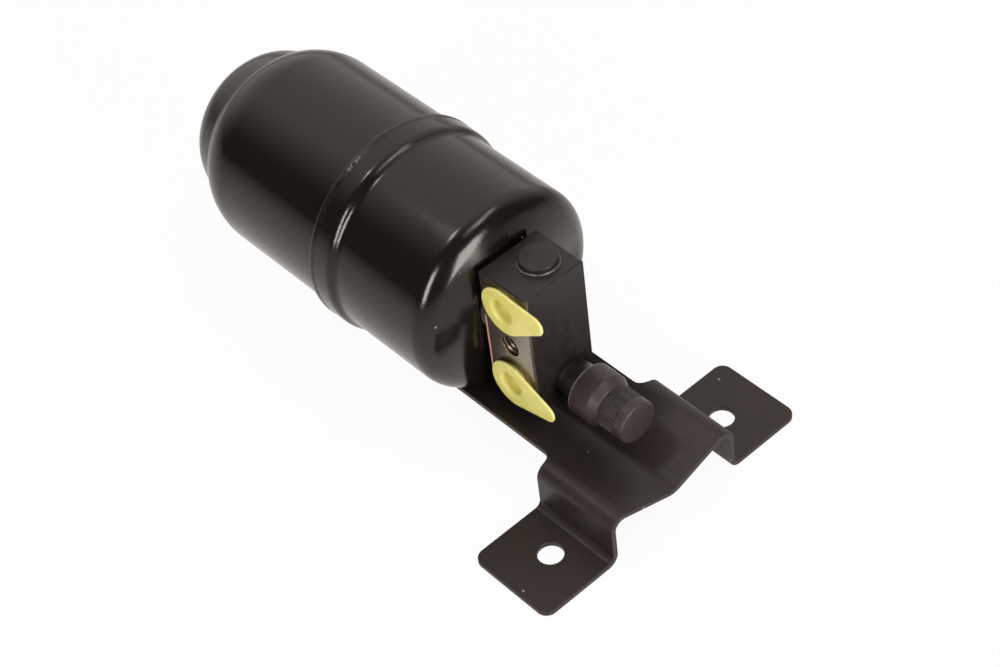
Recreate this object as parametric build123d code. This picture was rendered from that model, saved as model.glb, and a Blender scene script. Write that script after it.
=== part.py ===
"""Receiver drier: a welded two-shell canister on a folded T-shaped bracket, with a drilled connection block.

Frame: millimetres. X runs along the canister, +X towards the connection block and the bracket's front edge.
The origin lies midway between the two foot holes, on the underside of the feet. +Z is up.
"""

import os
from math import cos, pi, radians, sin, sqrt, tan

from build123d import *

os.makedirs("parts", exist_ok=True)

# Bracket sheet
sheet = 2.0
hole_spacing = 80.0
foot_hole_diameter = 9.0
foot_edge_distance = 18.5
bar_length = 35.0
foot_corner = 4.0
foot_bend = 2.5
web_spacing = 52.4
crest_bend = 3.2
trough_top = 12.9
flank_angle = 18.5
trough_bend = 6.0
stem_width = 41.6
stem_overlap = 39.5
stem_fillet = 4.0
stem_corner = 3.0
weld_length = 27.0
weld_radius = 2.3
weld_setback = 4.0
weld_offset = 0.9

# Canister shells
shell_diameter = 75.2
shell_wall = 1.6
front_offset = 56.1
front_corner = 6.4
band_start = 43.9
band_run = 3.2
band_soft_radius = 2.6
lip_distance = 56.4
lap_length = 8.3
lap_clearance = 0.05
shoulder_start = 107.1
shoulder_radius = 23.3
shoulder_angle = 42.0
shoulder_flat = 0.77
hat_depth = 18.5
hat_taper = 16.0
hat_corner = 18.5
crease_radius = 2.0
seat_gap = 0.1
girth_bead_radius = 2.7
girth_bead_drop = 0.5
girth_bead_lead = 1.2
girth_lump_radius = 2.95
girth_lump_angle = 97.0

# Connection block
block_gap = 2.4
block_length = 21.8
block_width = 25.5
block_height = 54.1
block_bottom = 21.4
block_edge = 0.4
block_round = 1.2
spigot_radius = 11.0
spigot_reach = 3.2
spigot_root = 1.0
braze_clearance = 0.05
braze_leg = 1.5
hole_line_from_front = 10.5
port_pitch = 34.2
port_centre_height = 27.05
port_bore = 12.0
port_depth = 11.0
port_lead = 0.8
thread_drill = 6.8
thread_depth = 9.5
thread_lead = 0.7
gallery_offset = 3.2
gallery_bore = 6.0
passage_bore = 5.5
inlet_bore = 4.0
inlet_offset = (-4.0, 7.0)
plug_head_radius = 6.7
plug_head_height = 2.4
plug_head_edge = 0.3
plug_shank_radius = 4.5
plug_shank_length = 5.0
plug_clearance = 0.03
plug_braze_leg = 0.5

# Service port, its valve core and its cap
valve_height = 7.4
valve_thread_radius = 4.5
valve_thread_length = 6.5
valve_thread_clearance = 0.02
valve_socket_spare = 0.5
valve_drill = 5.0
collar_radius = 7.0
collar_length = 7.6
seal_groove_width = 1.3
seal_groove_depth = 1.1
seal_inset = 0.3
neck_radius = 6.2
neck_length = 2.0
nose_radius = 8.0
nose_length = 4.7
nose_edge = 0.8
cap_thread_radius = 4.5
cap_thread_depth = 8.0
core_radius = 2.5
core_length = 9.0
core_clearance = 0.05
core_setback = 9.0
core_chamber_radius = 3.0
pin_radius = 0.7
pin_clearance = 0.1
pin_head_radius = 1.6
pin_head_thickness = 0.8
pin_reach = 1.6
core_seal_radius = 2.1
core_seal_thickness = 1.8
spring_pocket_radius = 1.9
spring_pocket_depth = 4.0
spring_wire = 0.3
spring_turns = 5
cap_skirt_radius = 9.6
cap_skirt_clearance = 0.25
cap_rim_gap = 0.4
cap_floor_edge = 0.35
cap_shoulder = 2.9
knurl_radius = 7.9
knurl_depth = 0.32
knurl_count = 50
knurl_length = 8.2
cap_nose_length = 3.7
cap_edge = 1.1
post_clearance = 0.12
post_length = 6.0
post_lead = 0.6
gasket_wire = 1.4
gasket_radius = 5.9
gasket_gap = 0.06

# Dust plugs
dust_flange_radius = 9.2
dust_flange = 2.0
dust_plate = 0.9
dust_edge = 0.4
dust_step_radius = 7.6
dust_shank_clearance = 0.15
dust_shank_length = 9.0
dust_shank_lead = 1.0
dust_recess_radius = 4.0
dust_recess_depth = 6.0
dust_recess_round = 1.8
dust_recess_edge = 1.4
dust_tip_radius = 3.7
dust_tab_reach = 16.8
upper_tab_turn = 16.5
lower_tab_turn = -5.0

# Inside the canister
tube_radius = 4.0
tube_wall = 1.0
tube_socket = 9.5
tube_end_gap = 9.0
strainer_radius = 6.0
strainer_length = 8.0
strainer_wall = 0.8
strainer_sump = 1.5
plate_thickness = 1.2
plate_clearance = 0.3
plate_seat_gap = 0.1
plate_hole = 4.0
plate_rings = ((12.0, 8), (20.0, 14), (28.0, 20))
felt_thickness = 5.0
bed_clearance = 0.2
tube_hole_clearance = 0.1
bed_spring_height = 13.0
bed_spring_radius = 24.0
bed_spring_wire = 2.0
bed_spring_turns = 2.25

# Places worked out from the sizes above
shell_radius = shell_diameter / 2
block_front = -front_offset + block_gap + block_length
block_rear = block_front - block_length
block_top = block_bottom + block_height
port_face = -block_width / 2
hole_line = block_front - hole_line_from_front
canister_front = -front_offset
shoulder_tangent = shoulder_radius * tan(radians(shoulder_angle / 2))
shoulder_corner = canister_front - shoulder_start - shoulder_tangent
shoulder_leg = shoulder_tangent + shoulder_flat
hat_radius = shell_radius - shoulder_leg * sin(radians(shoulder_angle))
crease = shoulder_corner - shoulder_leg * cos(radians(shoulder_angle))
canister_end = crease - hat_depth
axis_height = trough_top + (shell_radius + seat_gap) / cos(radians(flank_angle))
band_radius = shell_radius + lap_clearance + shell_wall
lip = canister_front - lip_distance
mouth = lip + lap_length
valve_level = block_bottom + valve_height
valve_axis = Pos(block_front, gallery_offset, valve_level)
thread_radius = valve_thread_radius - valve_thread_clearance
nose_end = collar_length + neck_length + nose_length
core_outer = nose_end - core_setback
core_inner = core_outer - core_length
thread_height = block_bottom + port_centre_height
upper_port_height = thread_height + port_pitch / 2
lower_port_height = thread_height - port_pitch / 2
on_axis = Pos(0, 0, axis_height)
inner_radius = shell_radius - shell_wall
near = 0.01


def rod(start, length, radius, height=0.0, offset=0.0):
    """A cylinder along X from start towards +X, at the given height and offset in Y."""
    return Pos(start + length / 2, offset, height) * Rot(0, 90, 0) * Cylinder(radius, length)


def along_y(x, start, length, radius, height):
    """A cylinder along Y from start towards +Y."""
    return Pos(x, start + length / 2, height) * Rot(90, 0, 0) * Cylinder(radius, length)


def upright_rod(start, length, radius):
    """A cylinder along Z from start upwards."""
    return Pos(0, 0, start + length / 2) * Cylinder(radius, length)


def turned(points):
    """A body of revolution about X from a closed outline of (x, radius) points."""
    return revolve(make_face(Polyline(*points, close=True)), Axis.X)


def ring(x, radius, wire):
    """A round wire ring about the X axis."""
    return Pos(x, 0, 0) * Rot(0, 90, 0) * Torus(radius, wire)


def bracket():
    """One folded sheet: two feet, two webs, two crests and a trough, cut to a T in plan."""
    foot_edge = hole_spacing / 2 + foot_edge_distance
    web = web_spacing / 2
    slope = tan(radians(flank_angle))
    fold = trough_top - sheet / cos(radians(flank_angle))
    crest = fold + web * slope
    underside = FilletPolyline(
        (-foot_edge, 0), (-web, 0), (-web, crest), (0, fold), (web, crest), (web, 0), (foot_edge, 0),
        radius=[foot_bend + sheet, crest_bend, trough_bend + sheet, crest_bend, foot_bend + sheet],
    )
    section = Plane.YZ * make_face(offset(underside, amount=sheet, side=Side.LEFT, closed=True))
    stem_end = front_offset + stem_overlap
    folded = Pos(-stem_end, 0, 0) * extrude(section, stem_end + bar_length / 2, dir=(1, 0, 0))

    bar = Rectangle(bar_length, 2 * foot_edge)
    stem = Pos(-stem_end / 2, 0) * Rectangle(stem_end, stem_width)
    plan = bar + stem
    outer = plan.vertices().filter_by(lambda v: abs(v.Y) > foot_edge - near)
    plan = fillet(outer, foot_corner)
    inner = plan.vertices().filter_by(
        lambda v: abs(v.X + bar_length / 2) < near and abs(abs(v.Y) - stem_width / 2) < near
    )
    plan = fillet(inner, stem_fillet)
    plan = fillet(plan.vertices().filter_by(lambda v: v.X < -stem_end + near), stem_corner)
    part = folded & extrude(plan, 2 * axis_height)
    for side in (-1, 1):
        part -= Pos(0, side * hole_spacing / 2, 0) * upright_rod(0, sheet, foot_hole_diameter / 2)
    return part


def front_shell_outline():
    """The front shell's outer line: end face, corner, wall, widened mouth."""
    band = canister_front - band_start
    return FilletPolyline(
        (canister_front, spigot_radius + braze_clearance),
        (canister_front, shell_radius),
        (band, shell_radius),
        (band - band_run, band_radius),
        (lip, band_radius),
        radius=[front_corner, band_soft_radius, band_soft_radius],
    )


def front_shell():
    """Deep-drawn front half, open at the rear, with a hole for the block's spigot."""
    wall = offset(front_shell_outline(), amount=shell_wall, side=Side.LEFT, closed=True)
    return on_axis * revolve(make_face(wall), Axis.X)


def rear_shell_outline():
    """The rear shell's outer line: mouth, wall, round shoulder, stepped tail."""
    tail = hat_radius - hat_depth * tan(radians(hat_taper))
    return FilletPolyline(
        (mouth, shell_radius),
        (shoulder_corner, shell_radius),
        (crease, hat_radius),
        (canister_end, tail),
        (canister_end, 0),
        radius=[shoulder_radius, crease_radius, hat_corner],
    )


def rear_shell():
    """Deep-drawn rear half with a stepped, domed tail, open at the front."""
    closing = Polyline((canister_end, 0), (mouth, 0), (mouth, shell_radius))
    solid = revolve(make_face(rear_shell_outline() + closing), Axis.X)
    opening = solid.faces().sort_by(Axis.X)[-1]
    return on_axis * offset(solid, amount=-shell_wall, openings=opening)


def girth_weld(front, rear):
    """Low weld bead over the widened mouth's lip, down to the rear shell, with its start and stop lump."""
    turn = radians(girth_lump_angle)
    line = shell_radius - girth_bead_drop
    place = lip + girth_bead_lead
    bead = ring(place, line, girth_bead_radius)
    lump = Pos(place, line * cos(turn), line * sin(turn)) * Sphere(girth_lump_radius)
    bore = rod(place - girth_lump_radius, 2 * girth_lump_radius, shell_radius)
    bore += rod(lip, 2 * girth_lump_radius, shell_radius + lap_clearance)
    return on_axis * (bead + lump - bore) - front - rear


def bracket_weld(side, sheet_part, shell):
    """A fillet seam between one long edge of the stem and the front shell."""
    end = canister_front - front_corner - weld_setback
    edge = stem_width / 2
    surface = axis_height - sqrt(shell_radius**2 - edge**2)
    line = side * (edge + weld_offset)
    bead = rod(end - weld_length, weld_length, weld_radius, surface, line)
    ends = [Pos(x, line, surface) * Sphere(weld_radius) for x in (end - weld_length, end)]
    inside = rod(end - weld_length - weld_radius, weld_length + 2 * weld_radius, shell_radius, axis_height)
    return (bead + ends) - inside - sheet_part - shell


def port_block():
    """Machined block: two ports, a threaded hole, a plugged gallery, a valve seat and a spigot."""
    centre = (block_rear + block_front) / 2
    body = Pos(centre, 0, block_bottom + block_height / 2) * Box(block_length, block_width, block_height)
    upright = body.edges().filter_by(Axis.Z)
    round_edge = upright.sort_by(Axis.Y)[:2].sort_by(Axis.X)[-1]
    body = fillet(round_edge, block_round)
    ends = body.faces().sort_by(Axis.Z)
    body = chamfer(ends[-1].edges() + ends[0].edges(), block_edge)
    spigot_end = canister_front - spigot_reach
    body += rod(spigot_end, block_rear - spigot_end + spigot_root, spigot_radius, axis_height)
    for height in (upper_port_height, lower_port_height):
        body -= along_y(hole_line, port_face, port_depth, port_bore / 2, height)
        body -= lead_in(port_bore / 2, port_lead, height)
    body -= along_y(hole_line, port_face, thread_depth, thread_drill / 2, thread_height)
    body -= lead_in(thread_drill / 2, thread_lead, thread_height)
    gallery = Pos(hole_line, gallery_offset, 0)
    body -= gallery * upright_rod(valve_level, block_top - valve_level, gallery_bore / 2)
    plug_bore = plug_shank_radius + plug_clearance
    body -= gallery * upright_rod(block_top - plug_shank_length, plug_shank_length, plug_bore)
    port_end = port_face + port_depth
    body -= along_y(hole_line, port_end, gallery_offset - port_end, passage_bore / 2, lower_port_height)
    body -= rod(spigot_end, tube_socket, tube_radius + braze_clearance, axis_height)
    body -= rod(spigot_end, hole_line - spigot_end, passage_bore / 2, axis_height)
    body -= rod(
        spigot_end, hole_line - spigot_end, inlet_bore / 2, axis_height + inlet_offset[1], inlet_offset[0]
    )
    socket = valve_thread_length + valve_socket_spare
    body -= rod(block_front - socket, socket, valve_thread_radius, valve_level, gallery_offset)
    body -= rod(hole_line, block_front - hole_line, valve_drill / 2, valve_level, gallery_offset)
    return body


def lead_in(radius, leg, height):
    """The chamfer at the mouth of a hole in the port face."""
    cone = Cone(radius + leg, radius, leg)
    return Pos(hole_line, port_face + leg / 2, height) * Rot(-90, 0, 0) * cone


def block_braze():
    """Braze fillet round the spigot, on the front shell's end face."""
    corner = (canister_front, spigot_radius)
    along = (canister_front + braze_leg, spigot_radius)
    out = (canister_front, spigot_radius + braze_leg)
    return on_axis * turned([corner, along, out])


def cross_drill_plug():
    """Round plug pressed into the gallery's top end."""
    shank = upright_rod(-plug_shank_length, plug_shank_length, plug_shank_radius)
    head = upright_rod(0, plug_head_height, plug_head_radius)
    head = fillet(head.edges().sort_by(Axis.Z)[-1], plug_head_edge)
    return Pos(hole_line, gallery_offset, block_top) * (head + shank)


def cross_plug_braze():
    """Thin braze ring at the foot of the round plug's head."""
    inner = plug_head_radius
    outer = inner + plug_braze_leg
    corner = make_face(Polyline((inner, 0), (outer, 0), (inner, plug_braze_leg), close=True))
    return Pos(hole_line, gallery_offset, block_top) * revolve(Plane.XZ * corner, Axis.Z)


def service_valve_body():
    """Turned service port: thread, collar with a seal groove, neck and nose."""
    nose_start = nose_end - nose_length
    body = turned([
        (-valve_thread_length, 0), (-valve_thread_length, thread_radius),
        (0, thread_radius), (0, collar_radius - seal_groove_depth),
        (seal_groove_width, collar_radius - seal_groove_depth), (seal_groove_width, collar_radius),
        (collar_length, collar_radius), (collar_length, neck_radius), (nose_start, neck_radius),
        (nose_start, nose_radius - nose_edge), (nose_start + nose_edge, nose_radius),
        (nose_end - nose_edge, nose_radius), (nose_end, nose_radius - nose_edge), (nose_end, 0),
    ])
    body -= rod(nose_end - cap_thread_depth, cap_thread_depth, cap_thread_radius)
    body -= rod(core_inner, nose_end - core_inner, core_radius + core_clearance)
    body -= rod(-valve_thread_length, core_inner + valve_thread_length, core_chamber_radius)
    return body


def valve_base_seal():
    """Flat seal ring in the groove under the collar."""
    outer = collar_radius - seal_inset
    inner = collar_radius - seal_groove_depth
    return turned([(0, inner), (seal_groove_width, inner), (seal_groove_width, outer), (0, outer)])


def valve_core_body():
    """Sleeve of the valve core, with a pocket for its spring."""
    sleeve = rod(core_inner, core_length, core_radius)
    sleeve -= rod(core_inner, core_length, pin_radius + pin_clearance)
    return sleeve - rod(core_outer - spring_pocket_depth, spring_pocket_depth, spring_pocket_radius)


def valve_core_pin():
    """Headed pin that opens the valve when it is pressed in."""
    head = core_outer + pin_reach - pin_head_thickness
    start = core_inner - core_seal_thickness
    return rod(start, head - start, pin_radius) + rod(head, pin_head_thickness, pin_head_radius)


def valve_core_seal():
    """Rubber seal on the pin's inner end, against the sleeve."""
    start = core_inner - core_seal_thickness
    return rod(start, core_seal_thickness, core_seal_radius) - rod(start, core_seal_thickness, pin_radius)


def valve_core_spring():
    """Small coil spring between the sleeve's pocket and the pin's head."""
    floor = core_outer - spring_pocket_depth
    height = spring_pocket_depth + pin_reach - pin_head_thickness - 2 * spring_wire
    coil_radius = (pin_radius + spring_pocket_radius) / 2
    spring = coil(coil_radius, height, spring_turns, spring_wire / 2)
    return Pos(floor + spring_wire, 0, 0) * Rot(0, 90, 0) * spring


def coil(radius, height, turns, wire_radius):
    """A round wire wound on a helix about +Z from z = 0."""
    path = Helix(pitch=height / turns, height=height, radius=radius)
    return sweep(Plane(origin=path @ 0, z_dir=path % 0) * Circle(wire_radius), path=path)


def service_cap():
    """Screw cap: smooth skirt over the nose, threaded post inside it, knurled grip and flat end."""
    rim = collar_length + cap_rim_gap
    floor = nose_end + gasket_wire + 2 * gasket_gap
    skirt_end = floor + cap_floor_edge
    knurl_start = skirt_end + cap_shoulder
    knurl_end = knurl_start + knurl_length
    end = knurl_end + cap_nose_length
    root = knurl_radius - knurl_depth
    shell = turned([
        (rim, 0), (rim, cap_skirt_radius), (skirt_end, cap_skirt_radius),
        (knurl_start, knurl_radius), (knurl_start, root), (knurl_end, root), (knurl_end, knurl_radius),
        (end - cap_edge, knurl_radius), (end, knurl_radius - cap_edge), (end, 0),
    ])
    shell += Pos(knurl_start, 0, 0) * extrude(Plane.YZ * knurl_section(), knurl_length, dir=(1, 0, 0))
    shell -= rod(rim, floor - rim, nose_radius + cap_skirt_clearance)
    post_start = nose_end - post_length
    post = rod(post_start, knurl_start - post_start, cap_thread_radius - post_clearance)
    return shell + chamfer(post.edges().sort_by(Axis.X)[0], post_lead)


def knurl_section():
    """The grip's section: straight V ribs all round."""
    step = pi / knurl_count
    points = []
    for index in range(2 * knurl_count):
        radius = knurl_radius - knurl_depth * (index % 2)
        points.append((radius * cos(index * step), radius * sin(index * step)))
    return make_face(Polyline(*points, close=True))


def cap_gasket():
    """O-ring on the cap's floor, against the end of the nose."""
    return ring(nose_end + gasket_gap + gasket_wire / 2, gasket_radius, gasket_wire / 2)


def dust_plug(height, turn):
    """Push-in dust plug: thin teardrop flange with a pull tab, a step below it, and a hollow shank in the port."""
    disc = Circle(dust_flange_radius)
    tip = Pos(dust_tab_reach, 0) * Circle(dust_tip_radius)
    flange = Rot(0, 0, turn) * make_hull((disc + tip).edges())
    plate = Pos(0, 0, dust_flange - dust_plate) * extrude(flange, dust_plate)
    plate = fillet(plate.edges().group_by(Axis.Z)[-1], dust_edge)
    shank_radius = port_bore / 2 - dust_shank_clearance
    shank = upright_rod(-dust_shank_length, dust_shank_length, shank_radius)
    shank = chamfer(shank.edges().sort_by(Axis.Z)[0], dust_shank_lead)
    plug = plate + upright_rod(0, dust_flange - dust_plate, dust_step_radius) + shank
    recess = upright_rod(dust_flange - dust_recess_depth, dust_recess_depth, dust_recess_radius)
    plug -= fillet(recess.edges().sort_by(Axis.Z)[0], dust_recess_round)
    mouth_cone = Cone(dust_recess_radius, dust_recess_radius + dust_recess_edge, dust_recess_edge)
    plug -= Pos(0, 0, dust_flange - dust_recess_edge / 2) * mouth_cone
    return Pos(hole_line, port_face, height) * Rot(90, 0, 0) * plug


def pickup_tube():
    """Outlet tube from its socket in the spigot down to the tail."""
    start = canister_end + shell_wall + tube_end_gap
    end = canister_front - spigot_reach + tube_socket
    tube = rod(start, end - start, tube_radius) - rod(start, end - start, tube_radius - tube_wall)
    return on_axis * tube


def tube_strainer():
    """Closed strainer cup over the tube's lower end."""
    start = canister_end + shell_wall + tube_end_gap
    low = start - strainer_wall - strainer_sump
    cup = rod(low, strainer_length, strainer_radius)
    cup -= rod(low + strainer_wall, strainer_length - 2 * strainer_wall, strainer_radius - strainer_wall)
    cup -= rod(start, strainer_length, tube_radius)
    return on_axis * cup


def lower_plate_place():
    """Where the lower plate's rim meets the rear shell's round shoulder."""
    rim = inner_radius - plate_clearance
    bend = shoulder_radius - shell_wall
    bend_centre = shell_radius - shoulder_radius
    bend_start = canister_front - shoulder_start
    return bend_start - sqrt(bend**2 - (rim - bend_centre) ** 2) + plate_seat_gap


def perforated_plate(start):
    """Thin disc with rings of holes and a hole for the tube."""
    plate = rod(start, plate_thickness, inner_radius - plate_clearance)
    plate -= rod(start, plate_thickness, tube_radius + tube_hole_clearance)
    holes = []
    for radius, count in plate_rings:
        for index in range(count):
            turn = 2 * pi * index / count
            place = (radius * sin(turn), radius * cos(turn))
            holes.append(rod(start, plate_thickness, plate_hole / 2, *place))
    return on_axis * (plate - holes)


def pad(start, length):
    """A round pad that fills the canister round the tube."""
    disc = rod(start, length, inner_radius - bed_clearance)
    return on_axis * (disc - rod(start, length, tube_radius + tube_hole_clearance))


def bed_spring():
    """Coil spring between the front shell's end and the upper plate."""
    wire = bed_spring_wire / 2
    start = canister_front - shell_wall - wire
    spring = coil(bed_spring_radius, bed_spring_height - bed_spring_wire, bed_spring_turns, wire)
    return Pos(start, 0, axis_height) * Rot(0, -90, 0) * spring


def write(name, shape):
    """Save one named piece."""
    export_step(shape, f"parts/{name}.step")


def main():
    """Build and save every piece."""
    sheet_part = bracket()
    front = front_shell()
    rear = rear_shell()
    write("bracket", sheet_part)
    write("front_shell", front)
    write("rear_shell", rear)
    write("girth_weld", girth_weld(front, rear))
    write("bracket_weld_left", bracket_weld(-1, sheet_part, front))
    write("bracket_weld_right", bracket_weld(1, sheet_part, front))
    write("port_block", port_block())
    write("block_braze", block_braze())
    write("cross_drill_plug", cross_drill_plug())
    write("cross_plug_braze", cross_plug_braze())
    write("service_valve_body", valve_axis * service_valve_body())
    write("valve_base_seal", valve_axis * valve_base_seal())
    write("valve_core_body", valve_axis * valve_core_body())
    write("valve_core_pin", valve_axis * valve_core_pin())
    write("valve_core_seal", valve_axis * valve_core_seal())
    write("valve_core_spring", valve_axis * valve_core_spring())
    write("service_cap", valve_axis * service_cap())
    write("cap_gasket", valve_axis * cap_gasket())
    write("upper_port_plug", dust_plug(upper_port_height, upper_tab_turn))
    write("lower_port_plug", dust_plug(lower_port_height, lower_tab_turn))
    write("pickup_tube", pickup_tube())
    write("tube_strainer", tube_strainer())
    lower_plate = lower_plate_place()
    upper_plate = canister_front - shell_wall - bed_spring_height - plate_thickness
    lower_felt = lower_plate + plate_thickness
    bed_start = lower_felt + felt_thickness
    upper_felt = upper_plate - felt_thickness
    write("lower_plate", perforated_plate(lower_plate))
    write("lower_felt", pad(lower_felt, felt_thickness))
    write("desiccant_charge", pad(bed_start, upper_felt - bed_start))
    write("upper_felt", pad(upper_felt, felt_thickness))
    write("upper_plate", perforated_plate(upper_plate))
    write("bed_spring", bed_spring())


main()
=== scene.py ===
"""Looks of the receiver drier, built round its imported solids.

Metres throughout. +X runs along the canister towards the connection block and +Z runs up from the feet.
"""

from math import acos, cos, pi, radians, sin, tan

import bmesh
import bpy
from mathutils import Matrix, Vector


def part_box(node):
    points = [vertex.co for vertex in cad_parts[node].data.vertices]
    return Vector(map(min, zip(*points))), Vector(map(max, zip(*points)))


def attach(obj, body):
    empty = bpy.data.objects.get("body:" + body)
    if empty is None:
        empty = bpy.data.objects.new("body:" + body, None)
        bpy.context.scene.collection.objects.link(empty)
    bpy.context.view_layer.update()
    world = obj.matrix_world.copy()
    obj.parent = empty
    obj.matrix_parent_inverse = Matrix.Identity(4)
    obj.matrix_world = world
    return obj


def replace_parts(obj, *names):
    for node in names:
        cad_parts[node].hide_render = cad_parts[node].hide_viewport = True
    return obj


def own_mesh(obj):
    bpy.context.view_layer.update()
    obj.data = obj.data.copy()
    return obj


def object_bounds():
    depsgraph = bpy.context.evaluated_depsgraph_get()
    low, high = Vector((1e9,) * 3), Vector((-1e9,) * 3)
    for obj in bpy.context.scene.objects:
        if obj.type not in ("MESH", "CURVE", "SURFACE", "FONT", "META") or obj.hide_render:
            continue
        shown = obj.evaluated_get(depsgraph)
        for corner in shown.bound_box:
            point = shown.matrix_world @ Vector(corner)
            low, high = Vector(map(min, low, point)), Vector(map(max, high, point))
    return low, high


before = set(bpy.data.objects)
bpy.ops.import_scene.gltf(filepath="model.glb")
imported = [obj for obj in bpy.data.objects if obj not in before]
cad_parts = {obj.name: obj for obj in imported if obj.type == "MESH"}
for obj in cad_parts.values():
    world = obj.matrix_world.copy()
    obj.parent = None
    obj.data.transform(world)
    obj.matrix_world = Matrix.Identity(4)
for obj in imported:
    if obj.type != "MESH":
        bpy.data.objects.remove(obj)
cad_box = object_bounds()

MM = 0.001

# Canister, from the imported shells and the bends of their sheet
front_low, front_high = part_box("front_shell")
rear_low, rear_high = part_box("rear_shell")
CANISTER_FRONT = front_high.x
CANISTER_END = rear_low.x
LIP = front_low.x
MOUTH = rear_high.x
AXIS_HEIGHT = (rear_low.z + rear_high.z) / 2
SHELL_RADIUS = (rear_high.z - rear_low.z) / 2
BAND_RADIUS = (front_high.z - front_low.z) / 2
SHELL_WALL = 1.6 * MM
FRONT_CORNER = 6.4 * MM
SPIGOT_HOLE = 11.05 * MM
BAND_START = 44.1 * MM
BAND_RUN = 2.4 * MM
BAND_BEND = 4.3 * MM
DOME_SLOPE = 0.42
DOME_POWER = 1.5
SHOULDER_START = 107.1 * MM
SHOULDER_RADIUS = 23.3 * MM
SHOULDER_ANGLE = radians(42.0)
SHOULDER_FLAT = 0.77 * MM
HAT_TAPER = radians(16.0)
HAT_CORNER = 18.5 * MM
CREASE_RADIUS = 2.0 * MM

# Weld seams. A pit has an angle round the canister in degrees, a place along the axis and a size in mm.
BEAD_DROP = 0.5 * MM
BEAD_LEAD = 1.2 * MM
BEAD_RADIUS = 2.62 * MM
BEAD_ROOT = 36.9 * MM
BEAD_SINK = 0.15 * MM
BEAD_CROWN = 0.36 * MM
LUMP_CROWN = 0.66 * MM
LUMP_ANGLE = radians(94.0)
LUMP_REACH = 8.0 * MM
LUMP_SWELL = 0.35 * MM
PITS = ((101.0, -1.3, 0.85), (97.0, -1.2, 0.75), (112.5, 1.3, 0.75))
SEAM_RADIUS = 2.2 * MM
FOOT_START = -1.05
FOOT_RUN = 0.85
CROWN_POWER = 6
PIT_LEVEL = 0.3 * MM
PIT_DEPTH = 0.45 * MM
SEAM_OFFSET = 21.7 * MM
STEM_HALF_WIDTH = 20.8 * MM

# Bracket
SHEET_EDGE = 0.28 * MM

# Connection block
block_low, block_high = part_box("port_block")
PORT_FACE = block_low.y
BLOCK_REAR = CANISTER_FRONT + 2.4 * MM
BLOCK_EDGE = 0.22 * MM
HOLE_LINE = block_high.x - 10.5 * MM
THREAD_HEIGHT = block_low.z + 27.05 * MM
PORT_PITCH = 34.2 * MM
LOWER_PORT_HEIGHT = THREAD_HEIGHT - PORT_PITCH / 2
UPPER_PORT_HEIGHT = THREAD_HEIGHT + PORT_PITCH / 2
PORT_RADIUS = 6.0 * MM
GALLERY_OFFSET = 3.2 * MM
MOUNT_THREAD_RADIUS = 4.0 * MM
MOUNT_THREAD_DEPTH = 9.0 * MM
MOUNT_THREAD_PITCH = 1.25 * MM
THREAD_START = 0.7 * MM
THREAD_RUNOUT = 0.9 * MM
THREAD_RIDGE = 0.6 * MM
ROUND_PLUG_RADIUS = 6.7 * MM
ROUND_PLUG_HEIGHT = 2.4 * MM
ROUND_PLUG_STEM = 4.5 * MM
ROUND_PLUG_DEPTH = 5.0 * MM
BRAZE_LEG = 0.5 * MM

# Service port and cap, measured along the port's axis from the block's front
VALVE_PLACE = Matrix.Translation((block_high.x, GALLERY_OFFSET, block_low.z + 7.4 * MM))
SHANK_RADIUS = 4.48 * MM
SHANK_END = -6.5 * MM
SEAL_RADIUS = 5.9 * MM
SEAL_END = 1.3 * MM
COLLAR_RADIUS = 7.0 * MM
COLLAR_END = 7.6 * MM
NECK_RADIUS = 6.2 * MM
NECK_END = 9.6 * MM
NOSE_RADIUS = 8.0 * MM
NOSE_BORE = 4.5 * MM
NOSE_CHAMFER = 0.4 * MM
CORE_START = -3.7 * MM
CORE_END = 6.3 * MM
CORE_BORE = 2.55 * MM
SHANK_BORE = 3.05 * MM
NOSE_END = 14.3 * MM
CAP_FLOOR = NOSE_END + 1.52 * MM
CAP_RIM = 8.0 * MM
SKIRT_END = CAP_FLOOR + 0.35 * MM
KNURL_START = SKIRT_END + 2.9 * MM
KNURL_LENGTH = 8.2 * MM
KNURL_RADIUS = 7.9 * MM
KNURL_DEPTH = 0.32 * MM
KNURL_COUNT = 50
KNURL_LAND = 0.3 * MM
CAP_NOSE = 3.7 * MM
SKIRT_RADIUS = 9.6 * MM
SKIRT_BORE = 8.25 * MM
POST_RADIUS = 4.38 * MM
POST_START = NOSE_END - 6.0 * MM

# Dust plugs
FLANGE_RADIUS = 9.2 * MM
FLANGE = 2.0 * MM
PLATE = 0.9 * MM
STEP_RADIUS = 7.6 * MM
TIP_RADIUS = 3.7 * MM
TAB_REACH = 16.8 * MM
PLUG_SHANK = 5.85 * MM
PLUG_DEPTH = 9.0 * MM
DIMPLE_RADIUS = 4.2 * MM
DIMPLE_DEPTH = 5.4 * MM
DIMPLE_LIP = 1.4 * MM
PLUG_EDGE = 0.4 * MM
PLUG_UNDERCUT = 0.2 * MM
PLUG_CHAMFER = 1.0 * MM
PLUG_CENTRE = 0.02 * MM
UPPER_PLUG_TURN = radians(16.5)
LOWER_PLUG_TURN = radians(-5.0)

# Photograph's view: azimuth 0 looks from -Y and 90 from +X, in degrees
CAMERA_PLACE = (0.36961, -0.32210, 0.58667)
CAMERA_AZIMUTH = 53.40
CAMERA_ELEVATION = 45.91
CAMERA_ROLL = -8.18
CAMERA_LENS = 82.50
CAMERA_SENSOR = 36.0

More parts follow.
